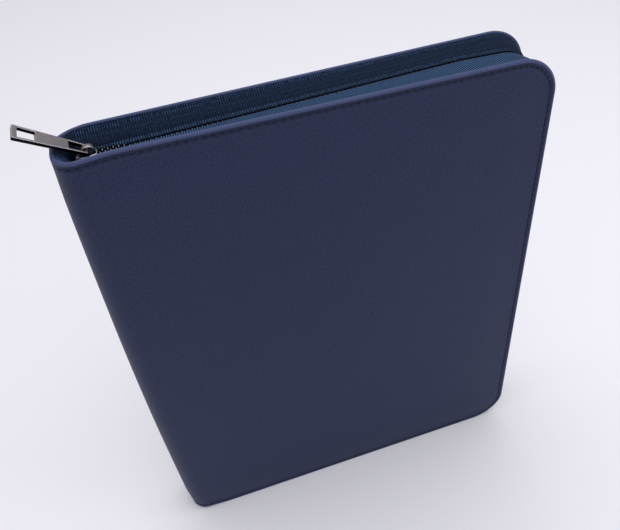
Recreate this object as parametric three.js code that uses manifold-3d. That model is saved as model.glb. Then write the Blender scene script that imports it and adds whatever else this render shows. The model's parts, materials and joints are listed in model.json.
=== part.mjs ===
// A zip-around portfolio case: two padded covers, a rounded spine and a zip gusset on three sides.
// It stands closed on its bottom edge, in millimetres: +X from spine to zip side, -Y front, +Z up.
// The origin is on the floor, under the middle of the whole case with its zip pull.
import * as THREE from "three";
import { mergeVertices } from "three/addons/utils/BufferGeometryUtils.js";
import Module from "manifold-3d";

const wasm = await Module();
wasm.setup();

// Overall case
const HEIGHT = 340;
const WIDTH = 270;
const SPINE_THICKNESS = 31;
const FREE_THICKNESS = 40;
const CORNER_RADIUS = 25;
const SPLAY = Math.atan((FREE_THICKNESS - SPINE_THICKNESS) / 2 / WIDTH);

// Cover layers, from the outer face inwards
const CLEAR = 0.25;
const SKIN = 1;
const PADDING = 1.2;
const BOARD = 1.6;
const LINING = 0.4;
const PADDING_AT = SKIN + CLEAR;
const BOARD_AT = PADDING_AT + PADDING + CLEAR;
const LINING_AT = BOARD_AT + BOARD + CLEAR;
const COVER = LINING_AT + LINING;
const EDGE_DEPTH = 4;
const LAYER_INSET = EDGE_DEPTH + 0.3;

// Spine
const SPINE_RADIUS = 12;
const SPINE_DROP = 2;
const SPINE_END = 12;
const COVER_START = 12.8;
const INNER_START = 14;
const DROP_END = 30;
const SPINE_EDGE = 3;
const SPINE_EDGE_HEIGHT = 4;
const SPINE_STRIP_WRAP = THREE.MathUtils.degToRad(28);
const SPINE_STRIP_INSET = 9;
const GUSSET_END_TOP = 1;
const GUSSET_END_HEIGHT = 12;

// Zip. Its middle line lies deepest by the slider and rises evenly towards the free side.
const TAPE = 0.6;
const SEAM_DEPTH = 3;
const CHAIN_DEPTH = 8.4;
const CHAIN_TILT = Math.atan(0.0275);
const SIDE_CHAIN_DEPTH = 4;
const TAPE_FLAT = 5.2;
const TAPE_EDGE = 0.8;
const TOOTH_HALF_GAP = 0.6;
const TOOTH_WIDTH = 2.2;
const TOOTH_HEIGHT = 1.7;
const TOOTH_GAP = 0.3;
const STOP_LENGTH = 1.6;
const STOP_GROWTH = 0.1;

// Slider and pull
const SLIDER_LENGTH = 11;
const SLIDER_HALF_WIDTH = 4.2;
const SLIDER_X = 19;
const SLIDER_CORNER = 2;
const PLATE = 0.8;
const PLATE_GAP = 0.2;
const LOWER_PLATE_GAP = 0.8;
const POST_HALF = 0.4;
const CROWN_WIDTH = 3;
const CROWN_LENGTH = 7;
const CROWN_HEIGHT = 3.9;
const CROWN_WALL = 1;
const PULL_LENGTH = 33.6;
const PULL_THICKNESS = 2;
const PULL_TILT = THREE.MathUtils.degToRad(32.6);
const PULL_AT = new THREE.Vector2(18, HEIGHT - 6.05);
const PULL_HALF_WIDTH = { near: 4.05, far: 5.7 };
const PULL_BAR = 0.8;
const PULL_SLOT = [PULL_BAR, 8.3];
const PULL_WINDOW = [23.3, 31.2];
const PULL_RAIL = 1.1;

// Pockets and the pen loop
const POCKET = 0.8;
const POCKET_GAP = 0.5;
const DOCUMENT_POCKET = { x: [22, 254], z: [14, 214] };
const CARD_POCKETS = { x: [150, 246], z: [100, 190], tiers: 3, step: 16 };
const NOTEPAD_SLEEVE = { x: [44, 254], z: [14, 120] };
const PEN_LOOP = { x: 29, z: 236, height: 30, width: 12.5, depth: 10.5, wall: 1, radius: 4 };

const CORNER_STEPS = 8;
const DROP_STEPS = 6;
const TAPE_STEPS = 7;
const FRONT = -1;
const BACK = 1;

const finish = (color, roughness, metalness = 0) =>
  new THREE.MeshStandardMaterial({ color, roughness, metalness });
const MATERIALS = {
  leather: finish("#2d3355", 0.55),
  edge: finish("#4e5882", 0.5),
  foam: finish("#d8d5c8", 0.95),
  board: finish("#8d8274", 0.9),
  lining: finish("#20232b", 0.9),
  tape: finish("#1f3a5c", 0.85),
  teeth: finish("#3c4250", 0.4, 0.6),
  metal: finish("#6f6b70", 0.3, 1),
};

const meshOf = (name, geometry, material) => {
  const mesh = new THREE.Mesh(geometry, MATERIALS[material]);
  mesh.name = name;
  return mesh;
};

// Distance of a cover's outer face from the middle plane, at a place along the width.
const faceAt = (x) => SPINE_THICKNESS / 2 + x * Math.tan(SPLAY);

// How far the edge is lowered as it nears the spine: the full drop at the spine, none past DROP_END.
function dropAt(x) {
  const t = THREE.MathUtils.clamp((DROP_END - x) / (DROP_END - COVER_START), 0, 1);
  return SPINE_DROP * THREE.MathUtils.smoothstep(t, 0, 1);
}

// How deep the zip's middle line lies on the top and bottom runs.
const chainDepthAt = (x) => CHAIN_DEPTH - (x - SLIDER_X) * Math.tan(CHAIN_TILT);

// Stations round the three zipped sides, from the top of the spine to its foot.
// Each holds a place on the outline, the outward direction there, the drop of the edge and the
// depth of the zip's middle line.
function stationsFrom(start) {
  const run = [];
  for (let i = 0; i <= DROP_STEPS; i++) {
    const x = THREE.MathUtils.lerp(start, DROP_END, i / DROP_STEPS);
    const out = new THREE.Vector2(0, 1);
    run.push({ x, z: HEIGHT, out, drop: dropAt(x), chain: chainDepthAt(x) });
  }
  const centre = new THREE.Vector2(WIDTH - CORNER_RADIUS, HEIGHT - CORNER_RADIUS);
  for (let i = 0; i <= CORNER_STEPS; i++) {
    const angle = (Math.PI / 2) * (1 - i / CORNER_STEPS);
    const out = new THREE.Vector2(Math.cos(angle), Math.sin(angle));
    const x = centre.x + CORNER_RADIUS * out.x;
    const chain = THREE.MathUtils.lerp(chainDepthAt(centre.x), SIDE_CHAIN_DEPTH, i / CORNER_STEPS);
    run.push({ x, z: centre.y + CORNER_RADIUS * out.y, out, drop: 0, chain });
  }
  const foot = run.map((station) => ({
    ...station,
    z: HEIGHT - station.z,
    out: new THREE.Vector2(station.out.x, -station.out.y),
  }));
  return [...run, ...foot.reverse()];
}

const inward = (station, depth) =>
  new THREE.Vector2(station.x - depth * station.out.x, station.z - depth * station.out.y);

// A cover-shaped outline in the X-Z plane, set in from the zipped edges.
const coverOutline = (inset, start) =>
  new THREE.Shape(stationsFrom(start).map((s) => inward(s, s.drop + inset)));

const rectangle = ([x0, x1], [z0, z1]) =>
  new THREE.Shape([
    new THREE.Vector2(x0, z0),
    new THREE.Vector2(x1, z0),
    new THREE.Vector2(x1, z1),
    new THREE.Vector2(x0, z1),
  ]);

// A flat sheet lying in X-Z, from depth `at` under the outer face of the cover on one side.
function sheet(shape, at, thickness, side) {
  const geometry = new THREE.ExtrudeGeometry(shape, { depth: thickness, bevelEnabled: false });
  geometry.rotateX(Math.PI / 2);
  const low = side === FRONT ? at + thickness : -at;
  return geometry.translate(0, low, 0);
}

// A group whose local Y = 0 plane is the outer face of one cover.
function coverGroup(side) {
  const group = new THREE.Group();
  group.position.set(0, (side * SPINE_THICKNESS) / 2, 0);
  group.rotation.z = side * SPLAY;
  return group;
}

// Turns every face round if the solid came out inside out.
function facingOut(geometry) {
  const p = geometry.getAttribute("position");
  const index = geometry.getIndex();
  const [a, b, c] = [new THREE.Vector3(), new THREE.Vector3(), new THREE.Vector3()];
  let volume = 0;
  for (let i = 0; i < index.count; i += 3) {
    a.fromBufferAttribute(p, index.getX(i));
    b.fromBufferAttribute(p, index.getX(i + 1));
    c.fromBufferAttribute(p, index.getX(i + 2));
    volume += a.dot(b.cross(c));
  }
  if (volume < 0) geometry.setIndex([...index.array].reverse());
  return geometry;
}

// A closed solid through matching rings of points, capped at both ends.
// `section` gives a ring's [depth, y] points at a station.
function loft(stations, section) {
  const sections = stations.map(section);
  const size = sections[0].length;
  const positions = stations.flatMap((station, i) =>
    sections[i].flatMap(([depth, y]) => {
      const p = inward(station, depth);
      return [p.x, y, p.y];
    }),
  );
  const index = [];
  for (let i = 0; i + 1 < stations.length; i++) {
    for (let j = 0; j < size; j++) {
      const a = i * size + j;
      const b = i * size + ((j + 1) % size);
      index.push(a, b, b + size, a, b + size, a + size);
    }
  }
  const cap = (ring, reversed) => {
    const outline = sections[ring].map(([depth, y]) => new THREE.Vector2(depth, y));
    for (const face of THREE.ShapeUtils.triangulateShape(outline, [])) {
      const corners = face.map((corner) => corner + ring * size);
      index.push(...(reversed ? corners.reverse() : corners));
    }
  };
  const clockwise = THREE.ShapeUtils.isClockWise(
    sections[0].map(([depth, y]) => new THREE.Vector2(depth, y)),
  );
  cap(0, !clockwise);
  cap(stations.length - 1, clockwise);
  const geometry = new THREE.BufferGeometry();
  geometry.setAttribute("position", new THREE.Float32BufferAttribute(positions, 3));
  geometry.setIndex(index);
  return facingOut(geometry);
}

// The turned leather edge that closes a cover on its three zipped sides.
function edgeBinding(side) {
  return loft(stationsFrom(COVER_START), ({ x, drop }) => {
    const outer = side * (faceAt(x) - SKIN - CLEAR);
    const inner = side * (faceAt(x) - COVER);
    return [
      [drop, outer],
      [drop, inner],
      [drop + EDGE_DEPTH, inner],
      [drop + EDGE_DEPTH, outer],
    ];
  });
}

// Half of the gusset: a tape sewn inside the cover's edge that dips to the zip's middle line.
function zipTape(side) {
  return loft(stationsFrom(INNER_START), ({ x, drop, chain }) => {
    const seamY = faceAt(x) - COVER - CLEAR;
    const seamDepth = SEAM_DEPTH + 0.7 * drop;
    const top = [];
    for (let i = 0; i <= TAPE_STEPS; i++) {
      const t = i / TAPE_STEPS;
      const y = THREE.MathUtils.lerp(seamY, TAPE_FLAT, t);
      const depth = THREE.MathUtils.lerp(seamDepth, chain, THREE.MathUtils.smoothstep(t, -0.3, 1));
      top.push([depth, side * y]);
    }
    top.push([chain, side * TAPE_EDGE]);
    const under = top.map(([depth, y]) => [depth + TAPE, y]).reverse();
    return [...top, ...under];
  });
}

// A block under the tape's edge, of one side's row of teeth or of the stop at its end.
function chainSection(side, chain, growth) {
  const top = chain + TAPE + TOOTH_GAP;
  const near = side * TOOTH_HALF_GAP;
  const far = side * (TOOTH_HALF_GAP + TOOTH_WIDTH + growth);
  const bottom = top + TOOTH_HEIGHT + growth;
  return [
    [top, near],
    [top, far],
    [bottom, far],
    [bottom, near],
  ];
}

const zipTeeth = (side) =>
  loft(stationsFrom(INNER_START), ({ chain }) => chainSection(side, chain, 0));

// A small metal stop in line with the teeth, between them and the spine.
function zipStop(side, z, up) {
  const end = INNER_START - CLEAR;
  const stations = [end - STOP_LENGTH, end].map((x) => ({
    x,
    z,
    out: new THREE.Vector2(0, up),
    drop: 0,
  }));
  return loft(stations, () => chainSection(side, chainDepthAt(end), STOP_GROWTH));
}

// The layers of one cover that lie flat in it, from the skin to the lining.
function flatLayers(side, name) {
  const group = coverGroup(side);
  const layer = (part, inset, start, at, thickness, material) =>
    group.add(
      meshOf(`${name}_${part}`, sheet(coverOutline(inset, start), at, thickness, side), material),
    );
  layer("skin", 0, COVER_START, 0, SKIN, "leather");
  layer("padding", LAYER_INSET, INNER_START, PADDING_AT, PADDING, "foam");
  layer("board", LAYER_INSET, INNER_START, BOARD_AT, BOARD, "board");
  layer("lining", LAYER_INSET, INNER_START, LINING_AT, LINING, "lining");
  return group;
}

// Everything of one cover that goes round its zipped edge.
function edgeParts(side, name) {
  const group = new THREE.Group();
  group.add(meshOf(`${name}_edge_binding`, edgeBinding(side), "edge"));
  group.add(meshOf(`${name}_zip_tape`, zipTape(side), "tape"));
  group.add(meshOf(`${name}_zip_teeth`, zipTeeth(side), "teeth"));
  group.add(meshOf(`${name}_top_stop`, zipStop(side, HEIGHT, 1), "metal"));
  group.add(meshOf(`${name}_bottom_stop`, zipStop(side, 0, -1), "metal"));
  return group;
}

// Inside the front cover: a wide document pocket with card pockets stepped up its face.
function frontPockets() {
  const group = coverGroup(FRONT);
  const pocketAt = COVER + POCKET_GAP;
  const outline = rectangle(DOCUMENT_POCKET.x, DOCUMENT_POCKET.z);
  const pocket = sheet(outline, pocketAt, POCKET, FRONT);
  group.add(meshOf("document_pocket", pocket, "lining"));
  const { x, z, tiers, step } = CARD_POCKETS;
  for (let i = 0; i < tiers; i++) {
    const at = pocketAt + (POCKET + CLEAR) * (i + 1);
    const card = sheet(rectangle(x, [z[0], z[1] - step * i]), at, POCKET, FRONT);
    group.add(meshOf(`card_pocket_${i + 1}`, card, "lining"));
  }
  return group;
}

// Inside the back cover: a low sleeve for a pad's backing card, and an elastic pen loop.
function backPockets() {
  const group = coverGroup(BACK);
  const outline = rectangle(NOTEPAD_SLEEVE.x, NOTEPAD_SLEEVE.z);
  const sleeve = sheet(outline, COVER + POCKET_GAP, POCKET, BACK);
  group.add(meshOf("notepad_sleeve", sleeve, "lining"));
  group.add(meshOf("pen_loop", penLoop(), "lining"));
  return group;
}

function penLoop() {
  const { x, z, height, width, depth, wall, radius } = PEN_LOOP;
  const y = -(COVER + CLEAR) - depth / 2;
  const ring = roundedRectangle(x, y, width, depth, radius);
  const hole = roundedRectangle(x, y, width - 2 * wall, depth - 2 * wall, radius - wall);
  ring.holes.push(hole);
  const options = { depth: height, bevelEnabled: false, curveSegments: 5 };
  return new THREE.ExtrudeGeometry(ring, options).translate(0, 0, z - height / 2);
}

function roundedRectangle(x, y, width, depth, radius) {
  const [w, d] = [width / 2 - radius, depth / 2 - radius];
  return new THREE.Shape()
    .absarc(x + w, y + d, radius, 0, Math.PI / 2)
    .absarc(x - w, y + d, radius, Math.PI / 2, Math.PI)
    .absarc(x - w, y - d, radius, Math.PI, 1.5 * Math.PI)
    .absarc(x + w, y - d, radius, 1.5 * Math.PI, 2 * Math.PI);
}

// The spine's U outline between two depths under its outer face, drawn in X-Y.
// Each arm wraps round by `wrap` from straight across: a right angle reaches the covers.
function spineOutline(outer, inner, wrap = Math.PI / 2) {
  const half = faceAt(SPINE_END) - SPINE_RADIUS;
  const [start, middle, end] = [Math.PI - wrap, Math.PI, Math.PI + wrap];
  return new THREE.Shape()
    .absarc(SPINE_RADIUS, half, SPINE_RADIUS - outer, start, middle)
    .absarc(SPINE_RADIUS, -half, SPINE_RADIUS - outer, middle, end)
    .absarc(SPINE_RADIUS, -half, SPINE_RADIUS - inner, end, middle, true)
    .absarc(SPINE_RADIUS, half, SPINE_RADIUS - inner, middle, start, true);
}

const upright = (shape, z0, z1) =>
  new THREE.ExtrudeGeometry(shape, {
    depth: z1 - z0,
    bevelEnabled: false,
    curveSegments: CORNER_STEPS,
  }).translate(0, 0, z0);

function spine() {
  const group = new THREE.Group();
  const [foot, head] = [SPINE_DROP, HEIGHT - SPINE_DROP];
  const edge = [SKIN + CLEAR, SKIN + CLEAR + SPINE_EDGE];
  const gusset = [edge[1] + CLEAR, edge[1] + CLEAR + TAPE];
  const strip = (outer, thickness) =>
    upright(
      spineOutline(outer, outer + thickness, SPINE_STRIP_WRAP),
      SPINE_STRIP_INSET,
      HEIGHT - SPINE_STRIP_INSET,
    );
  const boardAt = SKIN + CLEAR;
  const liningAt = boardAt + BOARD + CLEAR;
  group.add(meshOf("spine_skin", upright(spineOutline(0, SKIN), foot, head), "leather"));
  group.add(meshOf("spine_board", strip(boardAt, BOARD), "board"));
  group.add(meshOf("spine_lining", strip(liningAt, LINING), "lining"));
  for (const [end, z0, rise] of [["top", head, -1], ["bottom", foot, 1]]) {
    const band = (outline, from, to) => {
      const levels = [z0 + rise * from, z0 + rise * to];
      return upright(outline, Math.min(...levels), Math.max(...levels));
    };
    const binding = band(spineOutline(...edge), 0, SPINE_EDGE_HEIGHT);
    const tab = band(spineOutline(...gusset), GUSSET_END_TOP, GUSSET_END_HEIGHT);
    group.add(meshOf(`spine_${end}_binding`, binding, "edge"));
    group.add(meshOf(`gusset_${end}_end`, tab, "tape"));
  }
  return group;
}

function manifoldOf(geometry) {
  const bare = geometry.clone();
  bare.deleteAttribute("normal");
  bare.deleteAttribute("uv");
  const merged = mergeVertices(bare, 1e-4);
  return new wasm.Manifold(
    new wasm.Mesh({
      numProp: 3,
      vertProperties: new Float32Array(merged.getAttribute("position").array),
      triVerts: new Uint32Array(merged.getIndex().array),
    }),
  );
}

function geometryOf(solid) {
  const { vertProperties, triVerts } = solid.getMesh();
  const geometry = new THREE.BufferGeometry();
  geometry.setAttribute("position", new THREE.BufferAttribute(vertProperties, 3));
  return geometry.setIndex(new THREE.BufferAttribute(triVerts, 1));
}

// Two plates, above the tapes and below the teeth, joined by a post between the rows of teeth.
// The tapes' upper face is at Z = 0.
function sliderBody() {
  const above = PLATE_GAP;
  const below = -(TAPE + LOWER_PLATE_GAP + TOOTH_HEIGHT);
  const [w, p] = [SLIDER_HALF_WIDTH, POST_HALF];
  const section = new THREE.Shape(
    [
      [-w, above + PLATE],
      [-w, above],
      [-p, above],
      [-p, below],
      [-w, below],
      [-w, below - PLATE],
      [w, below - PLATE],
      [w, below],
      [p, below],
      [p, above],
      [w, above],
      [w, above + PLATE],
    ].map(([y, z]) => new THREE.Vector2(y, z)),
  );
  const bar = new THREE.ExtrudeGeometry(section, { depth: SLIDER_LENGTH, bevelEnabled: false });
  bar.rotateX(Math.PI / 2).rotateZ(Math.PI / 2).translate(-SLIDER_LENGTH / 2, 0, 0);
  const plan = new THREE.ExtrudeGeometry(
    roundedRectangle(0, 0, SLIDER_LENGTH, 2 * w, SLIDER_CORNER),
    { depth: 2 * SLIDER_LENGTH, bevelEnabled: false, curveSegments: 4 },
  ).translate(0, 0, -SLIDER_LENGTH);
  return geometryOf(manifoldOf(bar).intersect(manifoldOf(plan)));
}

// The bridge on the slider that the pull's cross bar passes under.
function sliderCrown() {
  const [l, h, t] = [CROWN_LENGTH / 2, CROWN_HEIGHT, CROWN_WALL];
  const arch = new THREE.Shape()
    .moveTo(-l, 0)
    .lineTo(-l + t, 0)
    .lineTo(-l + t, h / 2)
    .quadraticCurveTo(-l + t, h - t, -l / 3, h - t)
    .lineTo(l / 3, h - t)
    .quadraticCurveTo(l - t, h - t, l - t, h / 2)
    .lineTo(l - t, 0)
    .lineTo(l, 0)
    .lineTo(l, h / 2)
    .quadraticCurveTo(l, h, l / 3, h)
    .lineTo(-l / 3, h)
    .quadraticCurveTo(-l, h, -l, h / 2);
  const options = { depth: CROWN_WIDTH, bevelEnabled: false, curveSegments: 5 };
  return new THREE.ExtrudeGeometry(arch, options)
    .rotateX(Math.PI / 2)
    .translate(0, CROWN_WIDTH / 2, 0);
}

// The pull lies in its own X-Y plane, its cross bar on the origin and its far end at -X.
function pullPlate() {
  const { near, far } = PULL_HALF_WIDTH;
  const halfWidthAt = (u) => THREE.MathUtils.lerp(near, far, u / PULL_LENGTH);
  const ring = (u0, u1, inset) => [
    new THREE.Vector2(-u0, inset - halfWidthAt(u0)),
    new THREE.Vector2(-u0, halfWidthAt(u0) - inset),
    new THREE.Vector2(-u1, halfWidthAt(u1) - inset),
    new THREE.Vector2(-u1, inset - halfWidthAt(u1)),
  ];
  const plate = new THREE.Shape(ring(-PULL_BAR, PULL_LENGTH, 0));
  plate.holes.push(new THREE.Path(ring(...PULL_SLOT, PULL_RAIL)));
  plate.holes.push(new THREE.Path(ring(...PULL_WINDOW, PULL_RAIL)));
  const options = { depth: PULL_THICKNESS, bevelEnabled: false };
  return new THREE.ExtrudeGeometry(plate, options).translate(0, 0, -PULL_THICKNESS / 2);
}

function zipPull() {
  const swing = new THREE.Group();
  swing.position.set(PULL_AT.x, 0, PULL_AT.y);
  swing.rotation.y = PULL_TILT;
  swing.add(meshOf("zip_pull", pullPlate(), "metal"));
  return swing;
}

function slider() {
  const carriage = new THREE.Group();
  carriage.position.set(SLIDER_X, 0, HEIGHT - CHAIN_DEPTH);
  carriage.rotation.y = -CHAIN_TILT;
  const crown = meshOf("slider_crown", sliderCrown(), "metal");
  crown.position.z = PLATE_GAP + PLATE + CLEAR;
  carriage.add(meshOf("slider_body", sliderBody(), "metal"), crown);
  return carriage;
}

// Where the pull's far end reaches, behind the spine.
const pullReach =
  PULL_LENGTH * Math.cos(PULL_TILT) + (PULL_THICKNESS / 2) * Math.sin(PULL_TILT) - PULL_AT.x;

const portfolioCase = new THREE.Group();
portfolioCase.position.x = (pullReach - WIDTH) / 2;
for (const [side, name] of [[BACK, "back"], [FRONT, "front"]]) {
  portfolioCase.add(flatLayers(side, name), edgeParts(side, name));
}
portfolioCase.add(frontPockets(), backPockets(), spine(), slider(), zipPull());

export default portfolioCase;
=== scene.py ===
"""Looks of the zip-around portfolio case: leather shells, woven gusset, zip, slider, linings and pockets.

Lengths are in millimetres until they reach Blender, and are measured in "case coordinates": x from the
spine's outer face to the zip side, y from the middle plane (front cover at -y), z up from the floor.
The leather and the linings are drawn as flat sheets first (w along the sheet from the middle of the spine,
z up, n inwards from the outer face) and then bent round the spine.
"""

import json
import math

import bmesh
import bpy
import numpy as np
from mathutils import Matrix, Vector, noise


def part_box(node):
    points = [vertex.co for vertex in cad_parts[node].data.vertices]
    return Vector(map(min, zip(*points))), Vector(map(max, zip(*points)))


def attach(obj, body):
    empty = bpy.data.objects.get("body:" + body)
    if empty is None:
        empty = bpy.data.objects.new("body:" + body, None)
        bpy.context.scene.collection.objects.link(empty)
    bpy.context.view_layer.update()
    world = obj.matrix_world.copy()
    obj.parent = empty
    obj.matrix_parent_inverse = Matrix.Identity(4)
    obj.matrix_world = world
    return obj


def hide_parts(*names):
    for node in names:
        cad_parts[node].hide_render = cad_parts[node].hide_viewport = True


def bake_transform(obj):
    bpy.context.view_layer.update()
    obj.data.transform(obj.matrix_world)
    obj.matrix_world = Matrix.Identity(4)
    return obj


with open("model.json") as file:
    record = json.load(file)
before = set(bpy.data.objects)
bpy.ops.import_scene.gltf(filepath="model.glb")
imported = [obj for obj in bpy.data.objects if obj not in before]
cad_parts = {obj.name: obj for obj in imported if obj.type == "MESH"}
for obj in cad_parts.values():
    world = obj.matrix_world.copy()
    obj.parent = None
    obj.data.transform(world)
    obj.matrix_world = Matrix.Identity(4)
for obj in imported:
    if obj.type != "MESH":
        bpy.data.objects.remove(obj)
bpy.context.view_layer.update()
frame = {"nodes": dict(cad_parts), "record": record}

MM = 0.001
FRONT, BACK = -1, 1
SIDES = ((FRONT, "front"), (BACK, "back"))

# Driving sizes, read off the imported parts
SPINE_LOW, SPINE_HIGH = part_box("spine_skin")
EDGE_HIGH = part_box("front_edge_binding")[1]
SPINE_X = SPINE_LOW.x
WIDTH = (EDGE_HIGH.x - SPINE_X) / MM
HEIGHT = EDGE_HIGH.z / MM
RADIUS = (SPINE_HIGH.x - SPINE_X) / MM
SPINE_FACE = SPINE_HIGH.y / MM
FREE_FACE = -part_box("front_skin")[0].y / MM
DROP = HEIGHT - SPINE_HIGH.z / MM
SPINE_FLAT = SPINE_FACE - RADIUS
SLOPE = (FREE_FACE - SPINE_FACE) / (WIDTH - RADIUS)
COVER = SPINE_FACE + EDGE_HIGH.y / MM
CORNER = 25

# The edge is lowered by the spine, over a longer stretch on the front than on the back
DROP_START = 4
DROP_ENDS = {FRONT: 32, BACK: 20}
LOWERED = {FRONT: 0.0, BACK: 0.5}

# The turned leather edge in section
RIM = 2.35
RIM_RADIUS = 1.25
RIM_DEPTH = 4
LEATHER = 0.95
TUCK = 0.7

# Light and floor
FLOOR_HALF_SIZE = 25.0
WORLD_AT_HORIZON = 0.5
WORLD_OVERHEAD = 0.72

# The unfolded sheet
ARC_END = SPINE_FLAT + RADIUS * math.pi / 2
SHEET_WIDTH = ARC_END + (WIDTH - RADIUS) * math.hypot(1, SLOPE)

# Stitching
STATIONS_PER_STITCH = 6
STITCH_DEPTH = 3.7
RIM_SEAM_DEPTH = 2.05
LINING_EDGE = 4.7
POCKET_STITCH_PITCH = 3.2
# A depth that is farther in than any seam or rim.
FAR_INSIDE = 99.0
FIRST_STITCH_W = 12

# Layers under the leather
PADDING_TOP = LEATHER + 0.06
PADDING_FOOT = 2.45

# Zip
RIB_PITCH = 1.3
TAPE = 0.5
ZIP_GAP = 0.6
ZIP_PARTING = 1.7
# Where the tapes and the coil start along x.
TAPE_START = 13.2
COIL_START = 13.6
CROWN_LOW, CROWN_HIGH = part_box("slider_crown")
CROWN_ABOVE_TAPE = 1.15
SLIDER_X = (CROWN_LOW.x + CROWN_HIGH.x) / 2 / MM - SPINE_X / MM
SLIDER_LEVEL = CROWN_LOW.z / MM - CROWN_ABOVE_TAPE
JOINTS = {joint["name"]: joint for joint in frame["record"]["behaviour"]["joints"]}
TRAVEL = JOINTS["slider_travel"]["axis"]
ZIP_SLOPE = TRAVEL[2] / TRAVEL[0]
STRAIGHT_ZIP_END = 215
SIDE_ZIP_DEPTH = 4.4
PULL_TILT = 32.6
PULL_THICKNESS = 2


# ---------------------------------------------------------------- helpers

def smooth(t):
    t = np.clip(t, 0, 1)
    return t * t * (3 - 2 * t)


def bump_at(value, centre, width):
    return np.exp(-(((value - centre) / width) ** 2))


def face_at(x):
    """Distance of a cover's outer face from the middle plane."""
    return SPINE_FACE + (x - RADIUS) * SLOPE


def drop_at_x(x, side):
    """How far the edge is lowered as it nears the spine."""
    end = DROP_ENDS[side]
    return LOWERED[side] + DROP * smooth((end - x) / (end - DROP_START))


def x_of_w(w):
    angle = np.clip((w - SPINE_FLAT) / RADIUS, 0, math.pi / 2)
    return RADIUS - RADIUS * np.cos(angle) + np.maximum(w - ARC_END, 0)


def pull_in(z):
    """The soft spine stands out least at its two ends, most of all at its foot."""
    waist = 0.6 * HEIGHT
    above = np.clip((z - waist) / (HEIGHT - waist), 0, None)
    below = np.clip((waist - z) / waist, 0, None)
    return 0.6 + 1.25 * above**2 + 4.6 * below**2


def bend(w, n, z, side):
    """The x and y of a point of the sheet, n inside its outer face, bent round the spine."""
    angle = np.clip((w - SPINE_FLAT) / RADIUS, 0, math.pi / 2)
    past = np.maximum(w - ARC_END, 0)
    x = RADIUS - (RADIUS - n) * np.cos(angle) + past
    x = x + pull_in(z) * (1 - smooth(x / 60))
    y = np.minimum(w, SPINE_FLAT) + (RADIUS - n) * np.sin(angle) + past * SLOPE
    return x, side * y


def to_frame(x, y, z):
    """Case coordinates in millimetres to the frame's metres."""
    return np.stack([SPINE_X + x * MM, y * MM, z * MM], axis=-1)


def flat_noise(a, b, scale, seed):
    """Smooth noise of about -1 to 1 on two arrays in millimetres."""
    flat = zip(np.ravel(a) / scale, np.ravel(b) / scale)
    values = [noise.noise(Vector((p, q, seed))) for p, q in flat]
    return np.reshape(values, np.shape(a))


def mesh_object(name, points, faces, uvs=None, materials=(), face_materials=None):
    """An object from points in metres. uvs maps a layer's name to one pair per point."""
    mesh = bpy.data.meshes.new(name)
    mesh.from_pydata(np.asarray(points).reshape(-1, 3).tolist(), [], faces)
    for layer_name, pairs in (uvs or {}).items():
        layer = mesh.uv_layers.new(name=layer_name)
        loops = np.empty(len(mesh.loops), np.int32)
        mesh.loops.foreach_get("vertex_index", loops)
        layer.data.foreach_set("uv", np.asarray(pairs)[loops].astype(np.float32).ravel())
    for material in materials:
        mesh.materials.append(material)
    if face_materials is not None:
        mesh.polygons.foreach_set("material_index", np.asarray(face_materials, np.int32))
    tidy = bmesh.new()
    tidy.from_mesh(mesh)
    bmesh.ops.recalc_face_normals(tidy, faces=tidy.faces)
    tidy.to_mesh(mesh)
    tidy.free()
    mesh.shade_smooth()
    mesh.set_sharp_from_angle(angle=math.radians(60))
    obj = bpy.data.objects.new(name, mesh)
    bpy.context.scene.collection.objects.link(obj)
    return obj


def tube_faces(rings, size, closed_ends=True):
    """Faces of rings of points joined in a row, each ring closed on itself."""
    i = np.arange(rings - 1)[:, None] * size
    j = np.arange(size)[None, :]
    k = (j + 1) % size
    quads = np.stack([i + j, i + k, i + k + size, i + j + size], axis=-1).reshape(-1, 4)
    faces = quads.tolist()
    if closed_ends:
        faces.append(list(range(size)))
        faces.append([(rings - 1) * size + m for m in range(size)])
    return faces


def moved_faces(faces, base):
    """Faces of a part whose points are added after `base` others."""
    return [[corner + base for corner in face] for face in faces]


def grid_faces(ids):
    """Faces of a grid of point numbers."""
    return np.stack([ids[:-1, :-1], ids[:-1, 1:], ids[1:, 1:], ids[1:, :-1]], -1).reshape(-1, 4).tolist()


# ---------------------------------------------------------------- camera, light and stage

def aim_camera():
    """The photograph's view: its angles, distance and lens in the case's own proportions."""
    azimuth, elevation, roll = (math.radians(a) for a in (-18.608, 42.858, -2.791))
    distance = 1.3198 * HEIGHT
    target = Vector((0.4507 * HEIGHT, 0, 0.6649 * HEIGHT))
    back = Vector((
        math.sin(azimuth) * math.cos(elevation),
        -math.cos(azimuth) * math.cos(elevation),
        math.sin(elevation),
    ))
    place = target + back * distance
    right = Vector((0, 0, 1)).cross(back).normalized()
    up = back.cross(right)
    turned_right = math.cos(roll) * right + math.sin(roll) * up
    turned_up = -math.sin(roll) * right + math.cos(roll) * up
    matrix = Matrix((turned_right, turned_up, back)).transposed().to_4x4()
    matrix.translation = Vector((SPINE_X + place.x * MM, place.y * MM, place.z * MM))
    data = bpy.data.cameras.new("camera")
    data.sensor_width = 36
    data.lens = 41.282
    data.shift_x = -0.0734
    data.shift_y = -0.0405
    data.clip_start = 0.02
    camera = bpy.data.objects.new("camera", data)
    bpy.context.scene.collection.objects.link(camera)
    camera.matrix_world = matrix
    bpy.context.scene.camera = camera


def area_light(name, place, target, size, power, colour):
    data = bpy.data.lights.new(name, "AREA")
    data.shape = "RECTANGLE"
    data.size, data.size_y = size
    data.energy = power
    data.color = colour
    lamp = bpy.data.objects.new(name, data)
    bpy.context.scene.collection.objects.link(lamp)
    lamp.location = place
    lamp.rotation_euler = (Vector(target) - Vector(place)).to_track_quat("-Z", "Y").to_euler()


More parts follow.
